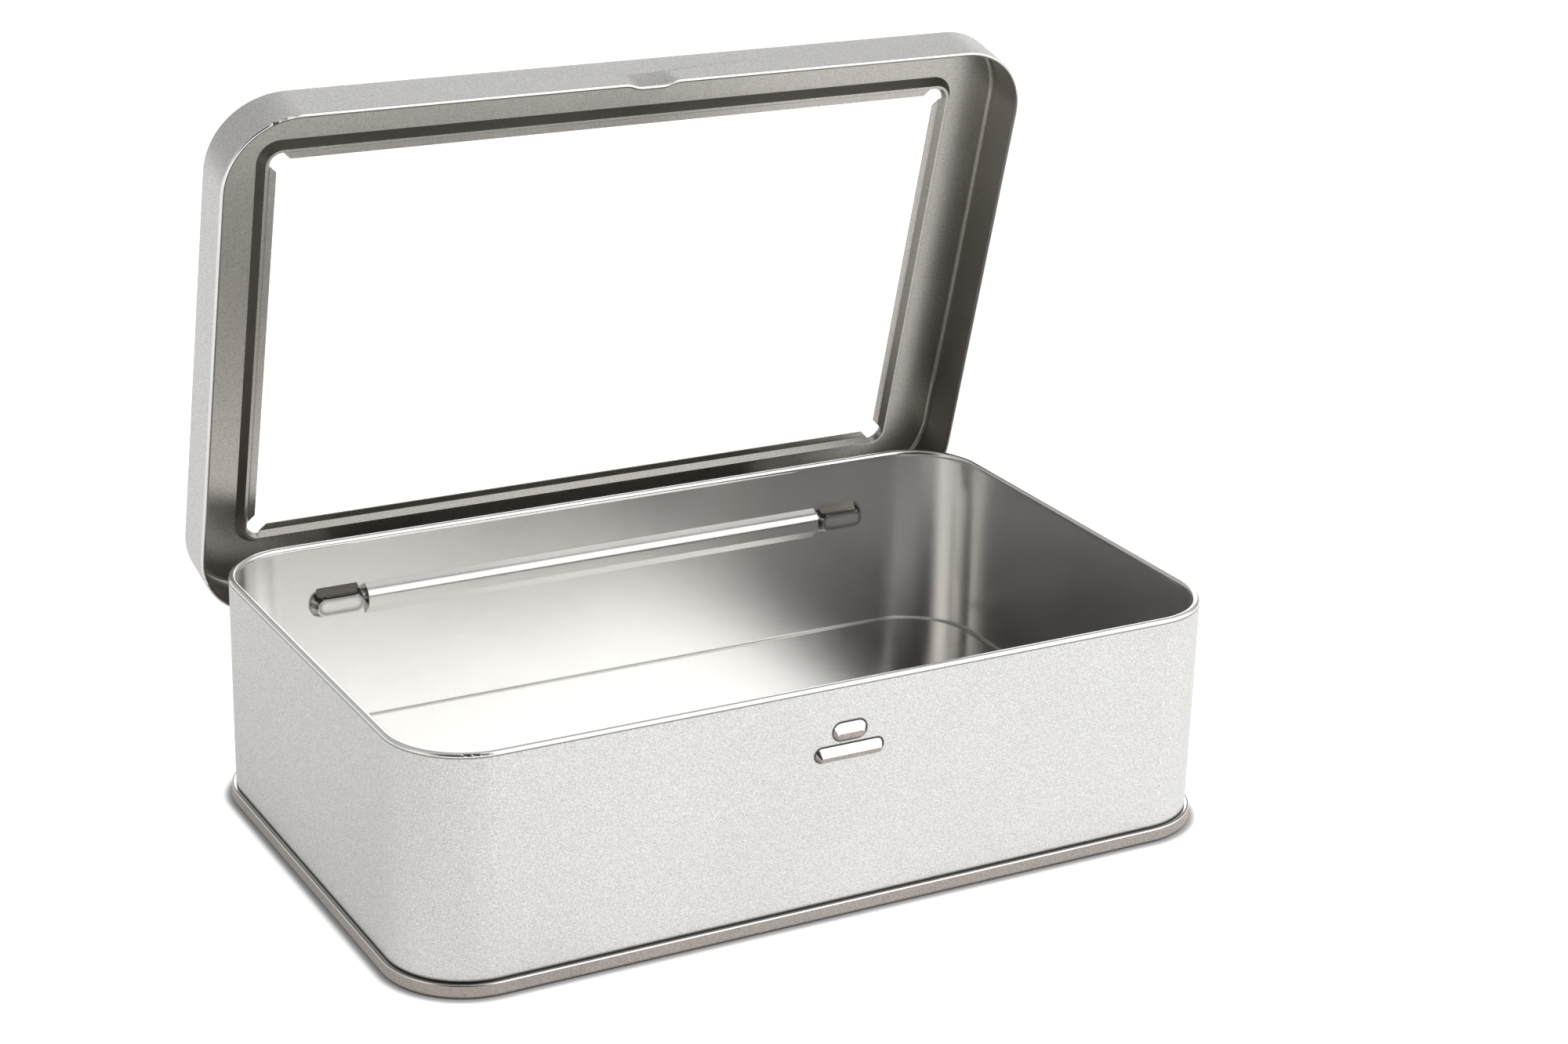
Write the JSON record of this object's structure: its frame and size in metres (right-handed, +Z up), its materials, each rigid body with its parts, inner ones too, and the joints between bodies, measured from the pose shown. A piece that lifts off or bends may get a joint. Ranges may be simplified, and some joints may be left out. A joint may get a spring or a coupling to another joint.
{
  "type": "hinged window tin box",
  "caption": "Rectangular tinplate box with a rolled rim, a pressed catch and a hinged lid that frames a clear window.",
  "frame": {"origin": "middle of the box's footprint, in the plane that the base seam stands on", "axes": "+X along the long side and the hinge, +Y from the front to the hinge, +Z up"},
  "size_m": [0.1928, 0.1355, 0.1596],
  "materials": {
    "tin_wall": "matte silver tinplate with a fine grain outside, bright inside",
    "tin_bottom": "bright tinplate",
    "steel_wire": "drawn steel wire",
    "tin_lid": "matte silver tinplate with a fine grain outside, bright inside",
    "clear_pane": "thin clear plastic sheet"
  },
  "bodies": {
    "box": {"body_wall": "tin_wall", "bottom_panel": "tin_bottom", "hinge_wire": "steel_wire"},
    "lid": {"lid": "tin_lid", "window_pane": "clear_pane"}
  },
  "joints": [
    {"name": "lid_hinge", "type": "hinge", "parent": "box", "child": "lid", "pos_m": [0, 0.0592, 0.038], "axis": [1, 0, 0], "range_deg": [-35, 75.7]}
  ]
}
